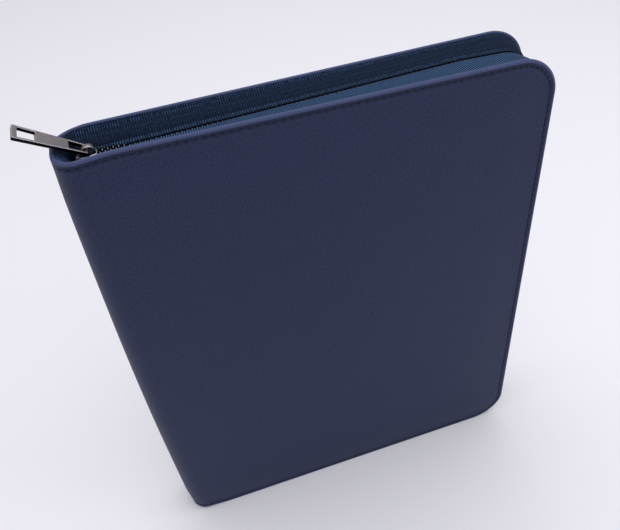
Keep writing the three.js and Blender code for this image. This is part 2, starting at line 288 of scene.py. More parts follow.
def light_studio():
    """A white room, brightest overhead, with a broad lamp above, two soft windows and a front fill."""
    world = bpy.data.worlds.new("studio")
    bpy.context.scene.world = world
    world.use_nodes = True
    tree = world.node_tree
    background = tree.nodes["Background"]
    place = tree.nodes.new("ShaderNodeTexCoord")
    height = tree.nodes.new("ShaderNodeSeparateXYZ")
    strength = tree.nodes.new("ShaderNodeMapRange")
    strength.inputs["From Max"].default_value = 1.0
    strength.inputs["To Min"].default_value = WORLD_AT_HORIZON
    strength.inputs["To Max"].default_value = WORLD_OVERHEAD
    tree.links.new(place.outputs["Generated"], height.inputs[0])
    tree.links.new(height.outputs["Z"], strength.inputs["Value"])
    tree.links.new(strength.outputs["Result"], background.inputs["Strength"])
    background.inputs["Color"].default_value = (0.96, 0.965, 1.0, 1)
    middle = (0, 0, 0.2)
    area_light("overhead", (0.15, 0.1, 1.5), middle, (1.5, 1.2), 10, (1.0, 0.99, 0.99))
    area_light("right_window", (1.5, -0.7, 0.8), middle, (1.0, 1.2), 4, (1.0, 0.99, 0.99))
    area_light("left_window", (-1.4, 0.1, 0.6), middle, (0.6, 1.2), 1.5, (0.95, 0.98, 1.0))
    area_light("front_fill", (0.4, -1.6, 0.5), (0.1, 0, 0), (1.6, 0.9), 2.5, (0.96, 0.97, 1.0))
    bpy.context.scene.view_settings.view_transform = "Standard"


def make_floor():
    material = bpy.data.materials.new("paper_sweep")
    material.use_nodes = True
    shader = material.node_tree.nodes["Principled BSDF"]
    shader.inputs["Base Color"].default_value = (0.86, 0.85, 0.9, 1)
    shader.inputs["Roughness"].default_value = 0.9
    size = FLOOR_HALF_SIZE
    corners = [(-size, -size, 0), (size, -size, 0), (size, size, 0), (-size, size, 0)]
    floor = mesh_object("floor", corners, [[0, 1, 2, 3]], materials=[material])


# ---------------------------------------------------------------- material nodes

class Nodes:
    """Builds a material's node tree in few words. Sizes are given in millimetres."""

    def __init__(self, name, roughness, metallic=0.0):
        self.material = bpy.data.materials.new(name)
        self.material.use_nodes = True
        self.tree = self.material.node_tree
        self.shader = self.tree.nodes["Principled BSDF"]
        self.shader.inputs["Roughness"].default_value = roughness
        self.shader.inputs["Metallic"].default_value = metallic

    def node(self, kind, **settings):
        made = self.tree.nodes.new(kind)
        for key, value in settings.items():
            setattr(made, key, value)
        return made

    def link(self, source, target):
        self.tree.links.new(source, target)

    def sheet(self, layer):
        """A sheet's own coordinates in millimetres."""
        return self.node("ShaderNodeUVMap", uv_map=layer).outputs["UV"]

    def place(self):
        """Object coordinates in millimetres."""
        source = self.node("ShaderNodeTexCoord").outputs["Object"]
        scaled = self.node("ShaderNodeVectorMath", operation="SCALE")
        scaled.inputs["Scale"].default_value = 1 / MM
        self.link(source, scaled.inputs[0])
        return scaled.outputs["Vector"]

    def noise(self, vector, size, detail=2.0, rough=0.5):
        made = self.node("ShaderNodeTexNoise")
        made.inputs["Scale"].default_value = 1 / size
        made.inputs["Detail"].default_value = detail
        made.inputs["Roughness"].default_value = rough
        self.link(vector, made.inputs["Vector"])
        return made.outputs["Fac"]

    def cells(self, vector, size):
        made = self.node("ShaderNodeTexVoronoi")
        made.inputs["Scale"].default_value = 1 / size
        self.link(vector, made.inputs["Vector"])
        return made.outputs["Distance"]

    def math(self, operation, a, b=None, c=None):
        made = self.node("ShaderNodeMath", operation=operation)
        for slot, value in enumerate((a, b, c)):
            if value is None:
                continue
            if isinstance(value, (int, float)):
                made.inputs[slot].default_value = value
            else:
                self.link(value, made.inputs[slot])
        return made.outputs[0]

    def axis(self, vector, letter):
        made = self.node("ShaderNodeSeparateXYZ")
        self.link(vector, made.inputs[0])
        return made.outputs[letter]

    def mix(self, factor, a, b):
        made = self.node("ShaderNodeMix", data_type="RGBA")
        for socket, value in ((0, factor), (6, a), (7, b)):
            if isinstance(value, (int, float)):
                made.inputs[socket].default_value = value
            elif isinstance(value, tuple):
                made.inputs[socket].default_value = (*value, 1)
            else:
                self.link(value, made.inputs[socket])
        return made.outputs[2]

    def span(self, value, low, high):
        """Maps a 0 to 1 value to low to high."""
        made = self.node("ShaderNodeMapRange")
        made.inputs["To Min"].default_value = low
        made.inputs["To Max"].default_value = high
        self.link(value, made.inputs["Value"])
        return made.outputs["Result"]

    def fade(self, value, start, end):
        """0 before start, 1 past end, and smooth between them. start may be past end."""
        made = self.node("ShaderNodeMapRange", interpolation_type="SMOOTHSTEP")
        turned = start > end
        made.inputs["From Min"].default_value = min(start, end)
        made.inputs["From Max"].default_value = max(start, end)
        made.inputs["To Min"].default_value = 1.0 if turned else 0.0
        made.inputs["To Max"].default_value = 0.0 if turned else 1.0
        self.link(value, made.inputs["Value"])
        return made.outputs["Result"]

    def wave(self, value, pitch):
        """0 to 1 and back over each pitch."""
        sine = self.math("SINE", self.math("MULTIPLY", value, 2 * math.pi / pitch))
        return self.math("MULTIPLY_ADD", sine, 0.5, 0.5)

    def bump(self, height, depth, strength=1.0):
        """A bump of `depth` millimetres."""
        made = self.node("ShaderNodeBump")
        made.inputs["Strength"].default_value = strength
        made.inputs["Distance"].default_value = depth * MM
        self.link(height, made.inputs["Height"])
        return made.outputs["Normal"]

    def specular(self, level):
        self.shader.inputs["Specular IOR Level"].default_value = level

    def finish(self, colour=None, roughness=None, normal=None):
        for socket, value in (("Base Color", colour), ("Roughness", roughness), ("Normal", normal)):
            if value is not None:
                self.link(value, self.shader.inputs[socket])
        return self.material


def srgb(code):
    """A colour such as "2f3558" in linear light."""
    parts = [int(code[i : i + 2], 16) / 255 for i in (0, 2, 4)]
    return tuple(p / 12.92 if p <= 0.04045 else ((p + 0.055) / 1.055) ** 2.4 for p in parts)


def leather_material():
    """Very finely grained leather, with a painted highlight on the rim and painted shade in the seams
    (layer "marks").
    """
    m = Nodes("navy_leather", 0.55)
    sheet = m.sheet("sheet")
    marks = m.sheet("marks")
    rim, seam = m.axis(marks, "X"), m.axis(marks, "Y")
    pores = m.cells(sheet, 1.1)
    grain = m.noise(sheet, 0.5, 3, 0.6)
    mottle = m.noise(sheet, 18, 3)
    speckle = m.noise(sheet, 0.85, 2, 0.6)
    tone = m.mix(mottle, srgb("111a36"), srgb("182140"))
    speckled = m.mix(m.fade(speckle, 0.36, 0.68), tone, srgb("273153"))
    # Painted highlight: the rim is made lighter, as if lit by the lamp above.
    rim_highlighted = m.mix(m.math("MULTIPLY", rim, 0.7), speckled, srgb("454f77"))
    # Painted shade: the seam crease, the stitch groove and the needle holes are darkened.
    colour = m.mix(m.math("MULTIPLY", seam, 0.9), rim_highlighted, srgb("060a18"))
    height = m.math("ADD", pores, m.math("MULTIPLY", grain, 0.8))
    normal = m.bump(height, 0.1, strength=0.55)
    m.specular(0.22)
    return m.finish(colour, m.span(grain, 0.42, 0.6), normal)


def thread_material():
    m = Nodes("navy_thread", 0.7)
    twist = m.wave(m.axis(m.place(), "X"), 0.35)
    fibre = m.noise(m.place(), 0.15, 1)
    colour = m.mix(fibre, srgb("1a2140"), srgb("2a3456"))
    m.specular(0.25)
    return m.finish(colour, None, m.bump(twist, 0.05))


def tape_parts(m):
    """What both weaves use: the tape's places, the way along it, and across from middle and seam."""
    sheet = m.sheet("sheet")
    return sheet, m.axis(sheet, "X"), m.axis(sheet, "Y"), m.axis(m.sheet("seam"), "Y")


def painted_gap_shade(m, middle, colour):
    """Darkens a tape's folded edge with painted shade, for the black line in the gap where the two tapes
    meet.
    """
    return m.mix(m.fade(middle, 1.15, 0.8), colour, srgb("04060b"))


def back_tape_material():
    """Bright ribs along the zip, fainter ones by the seam, and a dark uneven weave between."""
    m = Nodes("zip_tape_back", 0.85)
    sheet, along, middle, seam = tape_parts(m)
    rib = m.fade(m.wave(along, RIB_PITCH), 0.3, 0.9)
    fibre = m.noise(sheet, 0.45, 2, 0.7)
    uneven = m.noise(sheet, 2.2, 2)
    weave = m.math("MULTIPLY", m.wave(along, 0.9), m.wave(middle, 0.9))
    by_seam, by_middle = m.fade(seam, 2.6, 1.6), m.fade(middle, 4.2, 3.4)
    strength = m.math("MULTIPLY_ADD", by_middle, 0.4, m.math("MULTIPLY_ADD", by_seam, 0.28, 0.14))
    strength = m.math("MULTIPLY", strength, m.fade(uneven, 0.25, 0.6))
    light = m.math("MULTIPLY", rib, strength)
    light = m.math("ADD", light, m.math("MULTIPLY", weave, 0.16))
    light = m.math("MULTIPLY", light, m.fade(fibre, 0.3, 0.62))
    rows = m.math("ABSOLUTE", m.math("SUBTRACT", m.math("PINGPONG", middle, 3), 1.4))
    furrow = m.math("MULTIPLY", m.fade(rows, 0.5, 0.1), 0.5)
    light = m.math("MULTIPLY", light, m.math("SUBTRACT", 1.0, furrow))
    colour = m.mix(light, srgb("0c1626"), srgb("597aae"))
    # Painted shade along the folded edge, in the gap between the tapes.
    colour = painted_gap_shade(m, middle, colour)
    m.specular(0.08)
    height = m.math("ADD", m.math("ADD", rib, weave), fibre)
    return m.finish(colour, None, m.bump(height, 0.2))


def front_tape_material():
    """A diagonal twill, which turns to plain ribs by the slider."""
    m = Nodes("zip_tape_front", 0.85)
    sheet, along, middle, seam = tape_parts(m)
    slanted = m.wave(m.math("MULTIPLY_ADD", middle, 1.7, along), 2.6)
    straight = m.wave(along, RIB_PITCH)
    far = m.fade(along, 60, 90)
    near = m.math("SUBTRACT", 1.0, far)
    pattern = m.math("ADD", m.math("MULTIPLY", slanted, far), m.math("MULTIPLY", straight, near))
    fibre = m.noise(sheet, 0.45, 2, 0.7)
    light = m.math("MULTIPLY", m.fade(pattern, 0.3, 0.75), m.fade(fibre, 0.2, 0.6))
    sewn = m.math("SUBTRACT", 1.0, m.math("MULTIPLY", m.fade(seam, 0.9, 0.5), 0.6))
    light = m.math("MULTIPLY", light, sewn)
    colour = m.mix(m.math("MULTIPLY", light, 0.62), srgb("0c1a2d"), srgb("587cab"))
    # Painted shade along the folded edge, in the gap between the tapes.
    colour = painted_gap_shade(m, middle, colour)
    m.specular(0.08)
    height = m.math("ADD", pattern, m.math("MULTIPLY", fibre, 0.5))
    return m.finish(colour, None, m.bump(height, 0.25))


def cloth_material(name, dark, light):
    m = Nodes(name, 0.85)
    sheet = m.sheet("sheet")
    per_thread = 2 * math.pi / 0.7
    warp = m.math("SINE", m.math("MULTIPLY", m.axis(sheet, "X"), per_thread))
    weft = m.math("SINE", m.math("MULTIPLY", m.axis(sheet, "Y"), per_thread))
    weave = m.math("MULTIPLY", warp, weft)
    thread = m.noise(sheet, 2.5, 2)
    colour = m.mix(thread, srgb(dark), srgb(light))
    m.specular(0.2)
    return m.finish(colour, None, m.bump(weave, 0.06))


def metal_material(name, dark, light, roughness):
    m = Nodes(name, roughness, 1.0)
    place = m.place()
    cloud = m.noise(place, 3, 3)
    scratch = m.noise(place, 0.15, 1)
    colour = m.mix(cloud, srgb(dark), srgb(light))
    rough = m.span(cloud, roughness - 0.05, roughness + 0.08)
    return m.finish(colour, rough, m.bump(scratch, 0.008))


def elastic_material():
    m = Nodes("ribbed_elastic", 0.85)
    sheet = m.sheet("sheet")
    rib = m.wave(m.axis(sheet, "Y"), 1.5)
    fibre = m.noise(sheet, 0.3, 1)
    light = m.math("MULTIPLY", rib, fibre)
    colour = m.mix(light, srgb("0d101c"), srgb("2c3350"))
    return m.finish(colour, None, m.bump(fibre, 0.1))


def plain_material(name, dark, light, size, roughness):
    m = Nodes(name, roughness)
    grain = m.noise(m.place(), size, 3)
    return m.finish(m.mix(grain, srgb(dark), srgb(light)), None, m.bump(grain, 0.1))


# ---------------------------------------------------------------- leather shells

# Stations round the edge of the unfolded sheet, at the finest level.
RUN, TURN, RISE = 348, 56, 396


def stations(step, start=0.0):
    """Places (w, z) on the sheet's edge, the outward direction there and the station's number."""
    corner_w = SHEET_WIDTH - CORNER
    run = np.linspace(start, corner_w, RUN + 1)
    angle = np.linspace(math.pi / 2, 0, TURN + 1)[1:]
    rise = np.linspace(HEIGHT - CORNER, CORNER, RISE + 1)[1:]
    w = np.concatenate([run, corner_w + CORNER * np.cos(angle), np.full(RISE, SHEET_WIDTH)])
    z = np.concatenate([
        np.full(RUN + 1, HEIGHT),
        HEIGHT - CORNER + CORNER * np.sin(angle),
        rise,
    ])
    out_w = np.concatenate([np.zeros(RUN + 1), np.cos(angle), np.ones(RISE)])
    out_z = np.concatenate([np.ones(RUN + 1), np.sin(angle), np.zeros(RISE)])
    back_w, back_z = w[: RUN + TURN][::-1], HEIGHT - z[: RUN + TURN][::-1]
    w = np.concatenate([w, back_w])
    z = np.concatenate([z, back_z])
    out_w = np.concatenate([out_w, out_w[: RUN + TURN][::-1]])
    out_z = np.concatenate([out_z, -out_z[: RUN + TURN][::-1]])
    number = np.arange(len(w))
    return tuple(a[::step] for a in (w, z, out_w, out_z, number))


def edge_ring(depth, step, side, start=0.0):
    """The (w, z) points of a ring set in by depth, and their station numbers."""
    w, z, out_w, out_z, number = stations(step, start)
    lowered = np.abs(out_z) * drop_at_x(x_of_w(w), side)
    return w - out_w * depth, z - out_z * (depth + lowered), number


def fill_grid(w, z):
    """Points filling the sheet inside a ring, as rows from the top run down to the bottom run."""
    across = (RUN + TURN // 2) // 4
    down = (TURN + RISE) // 4
    top = np.stack([w[: across + 1], z[: across + 1]], -1)
    right = np.stack([w[across : across + down + 1], z[across : across + down + 1]], -1)
    bottom = np.stack([w[across + down :][::-1], z[across + down :][::-1]], -1)
    u = np.linspace(0, 1, across + 1)[None, :, None]
    length = np.concatenate([[0], np.cumsum(np.hypot(*np.diff(right, axis=0).T))])
    v = (length / length[-1])[:, None, None]
    left = top[0] + (bottom[0] - top[0]) * v[:, 0]
    edges = (1 - v) * top[None] + v * bottom[None] + (1 - u) * left[:, None] + u * right[:, None]
    corners = (
        (1 - u) * (1 - v) * top[0]
        + u * (1 - v) * top[-1]
        + (1 - u) * v * bottom[0]
        + u * v * bottom[-1]
    )
    return edges - corners


def needle_holes(number):
    """1 at the stations where the needle went through, less beside them."""
    phase = number % STATIONS_PER_STITCH
    beside = (phase == 1) | (phase == STATIONS_PER_STITCH - 1)
    return np.where(phase == 0, 1.0, np.where(beside, 0.4, 0.0))


def stitch_groove(depth, number):
    """How far the stitching pulls the leather in, with a pit at each needle hole."""
    between = np.sin(math.pi * (number % STATIONS_PER_STITCH) / STATIONS_PER_STITCH)
    groove = 0.42 * bump_at(depth, STITCH_DEPTH, 0.9)
    pit = 0.4 * bump_at(depth, STITCH_DEPTH, 0.5) * needle_holes(number)
    pucker = 0.2 * bump_at(depth, STITCH_DEPTH + 1.3, 0.7) * between
    crease = 0.22 * bump_at(depth, RIM_SEAM_DEPTH, 0.3)
    return groove + pit + crease - pucker


def tuck(z):
    """The covers close in a little at their foot."""
    return TUCK * (1 - smooth(z / 22))


def outer_shape(w, z, side):
    """How far the leather's outer face stands proud of the flat sheet: padding and small waves."""
    ends = smooth((np.minimum(z, HEIGHT - z) - 6) / 24)
    free = smooth((SHEET_WIDTH - w - 6) / 24)
    padding = 0.45 * ends * free
    waves = 0.2 * flat_noise(side * w, z, 60, 3.7) * ends
    near_spine = bump_at(w, ARC_END + 12, 3.2) - 0.6 * bump_at(w, ARC_END + 4, 3)
    crease = 0.3 * near_spine * smooth((z - 0.62 * HEIGHT) / (0.3 * HEIGHT)) * ends
    return padding + waves - crease


def shell_section():
    """The leather in section: (depth, n, level) over its face, round the rim and back inside."""
    face = [9.3, 8.3, 7.5, 6.8, 6.2, 5.7, 5.3, 4.95, 4.65, 4.4, 4.15, 3.92, 3.7, 3.48, 3.25]
    face += [3.0, 2.7, 2.4, 2.2, 2.05, 1.9, 1.7]
    points = [(12, 0, 2), (10.5, 0, 1)] + [(d, 0, 0) for d in face]
    for step in range(9):
        a = step / 8 * math.pi / 2
        points.append((RIM_RADIUS * (1 - math.sin(a)), RIM_RADIUS * (1 - math.cos(a)), 0))
    inner = 0.7
    for step in range(6):
        a = step / 5 * math.pi / 2
        points.append((inner * (1 - math.cos(a)), RIM - inner * (1 - math.sin(a)), 0))
    points += [(1.6, RIM, 0), (2.6, RIM, 0), (3.5, RIM - 0.05, 0), (RIM_DEPTH - 0.1, 2.3, 0)]
    points += [(RIM_DEPTH, 1.9, 0), (RIM_DEPTH, 1.2, 0), (RIM_DEPTH + 0.2, LEATHER + 0.02, 0)]
    return points + [(7, LEATHER, 1), (12, LEATHER, 2)]


def shell_highlight_and_shade(depth, n, number):
    """Two masks for the leather: how much a point is on the rim, for a painted highlight there, and how
    much painted shade darkens the seams.
    """
    # Painted highlight on the roll's top and inner side, and on the face within about 2 mm of the edge.
    rim = np.where(n > 0.3, smooth((RIM_DEPTH - depth) / 1.5), smooth((2.0 - depth) / 0.7))
    # Painted shade in the seam crease under the roll, in the stitch groove and in each needle hole.
    seam = 0.55 * bump_at(depth, RIM_SEAM_DEPTH, 0.4) + 0.3 * bump_at(depth, STITCH_DEPTH, 0.7)
    holes = 0 if number is None else 1.2 * bump_at(depth, STITCH_DEPTH, 0.7) * needle_holes(number)
    dark = np.clip(seam + holes, 0, 1) * (n < 0.3)
    return np.broadcast_arrays(rim, dark)


def lining_section():
    """The lining in section: a thin cloth flat on the board, ending just short of the tape."""
    at, thin = COVER, 0.4
    out = [(10, at, 2), (7, at, 2), (5.1, at - 0.05, 2), (LINING_EDGE, at - 0.2, 2)]
    back = [(LINING_EDGE, at - thin, 2), (5.1, at - thin - 0.05, 2), (7, at - thin - 0.05, 2)]
    return out + back + [(10, at - thin - 0.05, 2)]


def no_marks(depth, n, number):
    return np.broadcast_arrays(0.0 * depth, 0.0 * n)


def sheet_solid(name, side, section, shape, material, marks=no_marks, start=0.0):
    """A closed solid on the unfolded sheet: rings along its edge, and a grid inside on both faces.

    shape(w, z, depth, n, number) gives a point's n once the sheet has swelled and puckered.
    """
    points, sheet_uv, mark_uv, faces, rings = [], [], [], [], []
    count = 0

    def add(w, z, depth, n, number, unrolled):
        nonlocal count
        x, y = bend(w, shape(w, z, depth, n, number), z, side)
        points.append(to_frame(x, y, z).reshape(-1, 3))
        sheet_uv.append(np.stack([side * unrolled[0], unrolled[1]], -1).reshape(-1, 2))
        both = np.broadcast_arrays(w, *marks(np.full(w.shape, depth), np.full(w.shape, n), number))
        mark_uv.append(np.stack(both[1:], -1).reshape(-1, 2))
        ids = np.arange(count, count + w.size).reshape(w.shape)
        count += w.size
        return ids

    travelled = 0
    last = section[0][:2]
    for depth, n, level in section:
        step = 2**level
        w, z, number = edge_ring(depth, step, side, start)
        travelled += math.hypot(depth - last[0], n - last[1])
        last = (depth, n)
        out_w, out_z = stations(step, start)[2:4]
        first_w, first_z, _ = edge_ring(section[0][0], step, side, start)
        unrolled = (first_w + out_w * travelled, first_z + out_z * travelled)
        rings.append(add(w, z, depth, n, number, unrolled))
    for a, b in zip(rings, rings[1:]):
        faces += band_faces(a, b)
    columns = []
    for ring, (depth, n, _) in ((rings[0], section[0]), (rings[-1], section[-1])):
        w, z, _ = edge_ring(depth, 4, side, start)
        grid = fill_grid(w, z)[1:-1, :-1]
        rows, cols = grid.shape[0] + 2, grid.shape[1] + 1
        ids = np.empty((rows, cols), int)
        ids[1:-1, :-1] = add(grid[..., 0], grid[..., 1], FAR_INSIDE, n, None, (grid[..., 0], grid[..., 1]))
        ids[0, :] = ring[:cols]
        ids[:, -1] = ring[cols - 1 : cols - 1 + rows]
        ids[-1, :] = ring[cols + rows - 2 :][::-1]
        faces += grid_faces(ids)
        columns.append(ids[:, 0])
    a, b = columns
    faces += np.stack([a[:-1], a[1:], b[1:], b[:-1]], -1).tolist()
    faces.append([int(ring[0]) for ring in rings])
    faces.append([int(ring[-1]) for ring in rings])
    uvs = {"sheet": np.concatenate(sheet_uv), "marks": np.concatenate(mark_uv)}
    return mesh_object(name, np.concatenate(points), faces, uvs, [material])


def band_faces(a, b):
    """Faces between two rows of points, where one may have twice the other's stretches."""
    if len(a) == len(b):
        return np.stack([a[:-1], a[1:], b[1:], b[:-1]], -1).tolist()
    fine, coarse = (a, b) if len(a) > len(b) else (b, a)
    f0, f1, f2 = fine[:-1:2], fine[1::2], fine[2::2]
    c0, c1 = coarse[:-1], coarse[1:]
    triangles = ((f0, f1, c0), (f1, c1, c0), (f1, f2, c1))
    return [face for corners in triangles for face in np.stack(corners, -1).tolist()]


def fold_with_spine(obj):
    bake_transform(obj)


def leather_shell(side, name, material):
    def shape(w, z, depth, n, number):
        if n >= LEATHER and depth > RIM_DEPTH:
            return n + tuck(z)
        proud = outer_shape(w, z, side) * smooth(1 - n / LEATHER)
        pulled = 0 if number is None else stitch_groove(depth, number) * (n < 0.3)
        return n - proud + tuck(z) + pulled * smooth((x_of_w(w) - 1) / 3)

    section = shell_section()
    shell = sheet_solid(f"{name}_leather_shell", side, section, shape, material, shell_highlight_and_shade)
    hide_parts(f"{name}_skin", f"{name}_edge_binding", "spine_skin")
    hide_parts("spine_top_binding", "spine_bottom_binding")
    fold_with_spine(shell)


def lining(side, name, material):
    def shape(w, z, depth, n, number):
        """The lining lies closer to the skin in the spine, where there is no cover board."""
        at = n - 1.4 * (1 - smooth((w - 8) / (ARC_END - 8))) * (n > RIM + 1)
        return np.maximum(at, RIM + 0.15 + tuck(z))

    piece = sheet_solid(f"{name}_lining_cloth", side, lining_section(), shape, material)
    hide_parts(f"{name}_lining", "spine_lining")
    fold_with_spine(piece)


# ---------------------------------------------------------------- stitching

def stitches(side, name, material):
    """One thread stitch between each pair of needle holes, sunk in the groove."""
    w, z, number = edge_ring(STITCH_DEPTH, 1, side)
    out_w, out_z = stations(1)[2:4]
    holes = number[(number % STATIONS_PER_STITCH == 0) & (w >= FIRST_STITCH_W)]
    points, faces = [], []
    sides = 6
    profile = [(0.14, 0.45), (0.24, 0.85), (0.5, 1.0), (0.76, 0.85), (0.86, 0.45)]
    turn = np.linspace(0, 2 * math.pi, sides, endpoint=False)
    for a, b in zip(holes, holes[1:]):
        if b - a != STATIONS_PER_STITCH:
            continue
        rings = []
        for share, thick in profile:
            at = a + share * STATIONS_PER_STITCH
            low = int(at)
            f = at - low
            cw = w[low] * (1 - f) + w[low + 1] * f
            cz = z[low] * (1 - f) + z[low + 1] * f
            cross_w = cw + 0.3 * thick * np.cos(turn) * out_w[low]
            cross_z = cz + 0.3 * thick * np.cos(turn) * out_z[low]
            n = 0.34 + tuck(cz) - outer_shape(np.array(cw), np.array(cz), side)
            n = n + 0.26 * thick * np.sin(turn) - 0.1 * math.sin(math.pi * share)
            x, y = bend(cross_w, n, cz, side)
            rings.append(to_frame(x, y, cross_z))
        base = len(points) * sides
        points += rings
        faces += moved_faces(tube_faces(len(rings), sides), base)
    obj = mesh_object(f"{name}_stitching", np.concatenate(points), faces, materials=[material])
    fold_with_spine(obj)


# ---------------------------------------------------------------- gusset and zip

def gusset_path(start, spacing):
    """Places round the zipped sides at the covers' edge, from the top run to the bottom run."""
    corner_x = WIDTH - CORNER
    run = np.linspace(start, corner_x, int((corner_x - start) / spacing) + 1)
    turn = np.linspace(math.pi / 2, 0, int(CORNER * math.pi / 2 / spacing) + 1)[1:]
    rise = np.linspace(HEIGHT - CORNER, HEIGHT / 2, int((HEIGHT / 2 - CORNER) / spacing) + 1)[1:]
    x = np.concatenate([run, corner_x + CORNER * np.cos(turn), np.full(len(rise), WIDTH)])
    z = np.concatenate([
        np.full(len(run), HEIGHT),
        HEIGHT - CORNER + CORNER * np.sin(turn),
        rise,
    ])
    out_x = np.concatenate([np.zeros(len(run)), np.cos(turn), np.ones(len(rise))])
    out_z = np.concatenate([np.ones(len(run)), np.sin(turn), np.zeros(len(rise))])
    x, out_x = (np.concatenate([a, a[:-1][::-1]]) for a in (x, out_x))
    z = np.concatenate([z, HEIGHT - z[:-1][::-1]])
    out_z = np.concatenate([out_z, -out_z[:-1][::-1]])
    along = np.concatenate([[0], np.cumsum(np.hypot(np.diff(x), np.diff(z)))])
    return x, z, out_x, out_z, along


def loft(name, path, depth, y, uvs, materials):
    """A closed solid: depth and y are (stations, ring) arrays of a section along the path.

    uvs maps a layer's name to the stations' places along the path and the points' places across it.
    """
    x, z, out_x, out_z = path[:4]
    size = depth.shape[1]
    px = x[:, None] - out_x[:, None] * depth
    pz = z[:, None] - out_z[:, None] * depth
    points = to_frame(px, y, pz)
    layers = {
        layer: np.stack([np.repeat(run[:, None], size, 1), across], -1).reshape(-1, 2)
        for layer, (run, across) in uvs.items()
    }
    return mesh_object(name, points, tube_faces(len(x), size), layers, materials)


def zip_depth(path):
    """How deep the zip's middle line lies: it rises from the slider, then falls round the corner."""
    x = path[0]
    straight = HEIGHT - SLIDER_LEVEL - (x - SLIDER_X) * ZIP_SLOPE
    end = HEIGHT - SLIDER_LEVEL - (STRAIGHT_ZIP_END - SLIDER_X) * ZIP_SLOPE
    turned = smooth((x - STRAIGHT_ZIP_END) / (WIDTH - 8 - STRAIGHT_ZIP_END))
    return np.where(x < STRAIGHT_ZIP_END, straight, end + (SIDE_ZIP_DEPTH - end) * turned)


def zip_opening(path):
    """How far each tape's edge stands from the middle: it parts a little by the slider."""
    x, z = path[:2]
    parted = smooth((x - SLIDER_X - 0.5) / 3) * smooth((SLIDER_X + 20 - x) / 8)
    return ZIP_GAP + ZIP_PARTING * parted * (z > HEIGHT / 2)


def zip_tape(side, name, material):
    path = gusset_path(TAPE_START, RIB_PITCH / 4)
    x, z, along = path[0], path[1], path[4]
    middle = zip_depth(path)[:, None]
    seam_y = (face_at(x) - RIM - 0.02 - tuck(z))[:, None]
    seam_depth = 0.9 + drop_at_x(x, side)[:, None]
    flat_y, edge_y = 4.2, zip_opening(path)[:, None]
    t = np.concatenate([np.linspace(0, 0.72, 13), np.linspace(0.76, 1, 7)])[None, :]
    slope, lie = np.clip(t / 0.72, 0, 1), np.clip((t - 0.72) / 0.28, 0, 1)
    y = seam_y + (flat_y - seam_y) * slope + (edge_y - flat_y) * lie
    fall = slope + 0.12 * np.sin(2 * math.pi * slope)
    depth = seam_depth + (middle - seam_depth) * fall
    ribs = np.cos(2 * math.pi * along / RIB_PITCH)[:, None]
    depth = depth - ribs * (0.06 * bump_at(y, seam_y - 1.2, 1.2) + 0.12 * bump_at(y, 2.6, 1.4))
    depth = depth - 0.14 * bump_at(y, 3.9, 0.35) + 0.5 * bump_at(y, edge_y, 0.45)
    thin = depth + TAPE
    size = t.shape[1]
    under = [size - 1, size - 4, size - 7, 9, 6, 3, 0]
    flat = np.concatenate([y, y[:, under]], 1)
    depth = np.concatenate([depth, thin[:, under]], 1)
    from_seam = np.concatenate([seam_y - y, (seam_y - y)[:, under]], 1)
    uvs = {"sheet": (along, flat), "seam": (along, from_seam)}
    tape = loft(f"{name}_zip_tape_cloth", path, depth, side * flat, uvs, [material])
    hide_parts(f"{name}_zip_tape")
    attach(tape, f"{name}_cover")


def zip_coil(side, name, material):
    """The coil sewn under the tape's edge: a row of rounded turns that reach just past the middle."""
    path = gusset_path(COIL_START, RIB_PITCH)
    x, z, out_x, out_z = path[:4]
    first = 0 if side == FRONT else 1
    parted = (zip_opening(path) - ZIP_GAP) / ZIP_PARTING
    level = zip_depth(path) + 1.35 - 1.15 * parted
    reach = (2.7, 2.1, 1.4, 0.7, 0.1, -0.35)
    half_length = (0.22, 0.42, 0.6, 0.52, 0.46, 0.2)
    half_height = (0.25, 0.5, 0.68, 0.55, 0.5, 0.2)
    turn = np.linspace(0, 2 * math.pi, 8, endpoint=False)
    points, faces = [], []
    for i in range(first, len(x), 2):
        base = len(points) * len(turn)
        for r, length, height in zip(reach, half_length, half_height):
            depth = level[i] + height * np.sin(turn)
            shift = length * np.cos(turn)
            px = x[i] - out_x[i] * depth + out_z[i] * shift
            pz = z[i] - out_z[i] * depth - out_x[i] * shift
            points.append(to_frame(px, np.full(len(turn), side * r), pz))
        faces += moved_faces(tube_faces(len(reach), len(turn)), base)
    coil = mesh_object(f"{name}_zip_coil", np.concatenate(points), faces, materials=[material])
    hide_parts(f"{name}_zip_teeth")
    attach(coil, f"{name}_cover")


def gusset_end(side, name, end, material):
    """Half of the gusset's end: a collar of tape that hangs inside the spine's rim."""
    w = np.arange(0, ARC_END + 1.5, RIB_PITCH / 4)
    rows = np.array([0.8, 1.4, 2.2, 3.4, 5, 7, 9, 11.5, 14])
    lean = RIM + np.array([0.02, 0.5, 1.2, 2.1, 3.1, 4.1, 4.9, 5.6, 6.2])
    rib = 0.06 * np.cos(2 * math.pi * w / RIB_PITCH)
    outer = lean[None, :] + rib[:, None]
    n = np.concatenate([outer, outer[:, ::-1] + TAPE], 1)
    depth = np.concatenate([rows, rows[::-1]])
    depth, w = np.broadcast_arrays(depth[None, :], w[:, None])
    lowered = drop_at_x(x_of_w(w), side)
    z = HEIGHT - depth - lowered if end == "top" else depth + lowered
    x, y = bend(w, n + tuck(z), z, side)
    place = np.stack([w, 14.5 - depth], -1).reshape(-1, 2)
    uvs = {"sheet": place, "seam": np.stack([w, depth], -1).reshape(-1, 2)}
    faces = tube_faces(*w.shape)
    piece = mesh_object(f"gusset_{end}_{name}", to_frame(x, y, z), faces, uvs, [material])
    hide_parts(f"gusset_{end}_end")
    fold_with_spine(piece)


# ---------------------------------------------------------------- layers inside the covers

